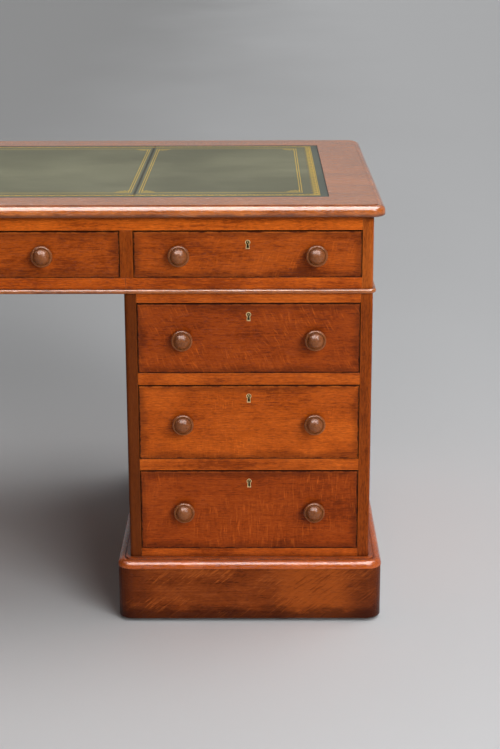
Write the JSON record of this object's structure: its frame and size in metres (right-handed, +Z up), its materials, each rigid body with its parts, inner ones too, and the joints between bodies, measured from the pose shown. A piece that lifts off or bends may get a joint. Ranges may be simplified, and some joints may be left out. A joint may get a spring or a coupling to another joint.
{
  "type": "pedestal desk",
  "caption": "Wooden pedestal writing desk: leather-lined moulded top, frieze drawers over a kneehole, graduated pedestal drawers with turned knobs, moulded plinths.",
  "frame": {"origin": "on the floor, below the middle of the desk's overall box", "axes": "+X to the desk's right along its width as seen from the front, +Y to the back, +Z up; the drawers open towards -Y"},
  "size_m": [1.532, 0.8526, 0.762],
  "materials": {
    "top_oak": "waxed and polished oak, reddish, worn along the front edge",
    "carcase_oak": "polished oak, orange brown",
    "drawer_oak": "polished figured oak, red brown",
    "plinth_oak": "polished oak, dark brown",
    "knob_wood": "turned and polished oak",
    "lining_wood": "plain planed wood, unpolished",
    "inner_board": "plain stained boards",
    "leather": "grey green hide with gilt tooled lines, satin",
    "brass": "old brass, dulled",
    "glide": "dark pads, matt"
  },
  "bodies": {
    "root": {"top_board": "top_oak", "writing_leather": "leather", "frieze_sides": "carcase_oak", "frieze_top_rail": "carcase_oak", "frieze_lower_rails": "carcase_oak", "frieze_dividers": "carcase_oak", "frieze_back": "inner_board", "frieze_bead": "carcase_oak", "frieze_runners": "lining_wood", "glides": "glide", "left_pedestal_sides": "carcase_oak", "left_pedestal_boards": "inner_board", "left_pedestal_back": "inner_board", "left_pedestal_rails": "carcase_oak", "left_pedestal_runners": "lining_wood", "left_plinth": "plinth_oak", "left_plinth_moulding": "plinth_oak", "right_pedestal_sides": "carcase_oak", "right_pedestal_boards": "inner_board", "right_pedestal_back": "inner_board", "right_pedestal_rails": "carcase_oak", "right_pedestal_runners": "lining_wood", "right_plinth": "plinth_oak", "right_plinth_moulding": "plinth_oak"},
    "left_frieze_drawer": {"left_frieze_drawer_front": "drawer_oak", "left_frieze_drawer_box": "lining_wood", "left_frieze_drawer_knobs": "knob_wood", "left_frieze_drawer_lock": "brass"},
    "centre_frieze_drawer": {"centre_frieze_drawer_front": "drawer_oak", "centre_frieze_drawer_box": "lining_wood", "centre_frieze_drawer_knobs": "knob_wood", "centre_frieze_drawer_lock": "brass"},
    "right_frieze_drawer": {"right_frieze_drawer_front": "drawer_oak", "right_frieze_drawer_box": "lining_wood", "right_frieze_drawer_knobs": "knob_wood", "right_frieze_drawer_lock": "brass"},
    "left_lower_drawer": {"left_lower_drawer_front": "drawer_oak", "left_lower_drawer_box": "lining_wood", "left_lower_drawer_knobs": "knob_wood", "left_lower_drawer_lock": "brass"},
    "left_middle_drawer": {"left_middle_drawer_front": "drawer_oak", "left_middle_drawer_box": "lining_wood", "left_middle_drawer_knobs": "knob_wood", "left_middle_drawer_lock": "brass"},
    "left_upper_drawer": {"left_upper_drawer_front": "drawer_oak", "left_upper_drawer_box": "lining_wood", "left_upper_drawer_knobs": "knob_wood", "left_upper_drawer_lock": "brass"},
    "right_lower_drawer": {"right_lower_drawer_front": "drawer_oak", "right_lower_drawer_box": "lining_wood", "right_lower_drawer_knobs": "knob_wood", "right_lower_drawer_lock": "brass"},
    "right_middle_drawer": {"right_middle_drawer_front": "drawer_oak", "right_middle_drawer_box": "lining_wood", "right_middle_drawer_knobs": "knob_wood", "right_middle_drawer_lock": "brass"},
    "right_upper_drawer": {"right_upper_drawer_front": "drawer_oak", "right_upper_drawer_box": "lining_wood", "right_upper_drawer_knobs": "knob_wood", "right_upper_drawer_lock": "brass"}
  },
  "joints": [
    {"name": "left_frieze_drawer_slide", "type": "slide", "parent": "root", "child": "left_frieze_drawer", "axis": [0, -1, 0], "range_m": [0, 0.45]},
    {"name": "centre_frieze_drawer_slide", "type": "slide", "parent": "root", "child": "centre_frieze_drawer", "axis": [0, -1, 0], "range_m": [0, 0.45]},
    {"name": "right_frieze_drawer_slide", "type": "slide", "parent": "root", "child": "right_frieze_drawer", "axis": [0, -1, 0], "range_m": [0, 0.45]},
    {"name": "left_lower_drawer_slide", "type": "slide", "parent": "root", "child": "left_lower_drawer", "axis": [0, -1, 0], "range_m": [0, 0.45]},
    {"name": "left_middle_drawer_slide", "type": "slide", "parent": "root", "child": "left_middle_drawer", "axis": [0, -1, 0], "range_m": [0, 0.45]},
    {"name": "left_upper_drawer_slide", "type": "slide", "parent": "root", "child": "left_upper_drawer", "axis": [0, -1, 0], "range_m": [0, 0.45]},
    {"name": "right_lower_drawer_slide", "type": "slide", "parent": "root", "child": "right_lower_drawer", "axis": [0, -1, 0], "range_m": [0, 0.45]},
    {"name": "right_middle_drawer_slide", "type": "slide", "parent": "root", "child": "right_middle_drawer", "axis": [0, -1, 0], "range_m": [0, 0.45]},
    {"name": "right_upper_drawer_slide", "type": "slide", "parent": "root", "child": "right_upper_drawer", "axis": [0, -1, 0], "range_m": [0, 0.45]}
  ]
}
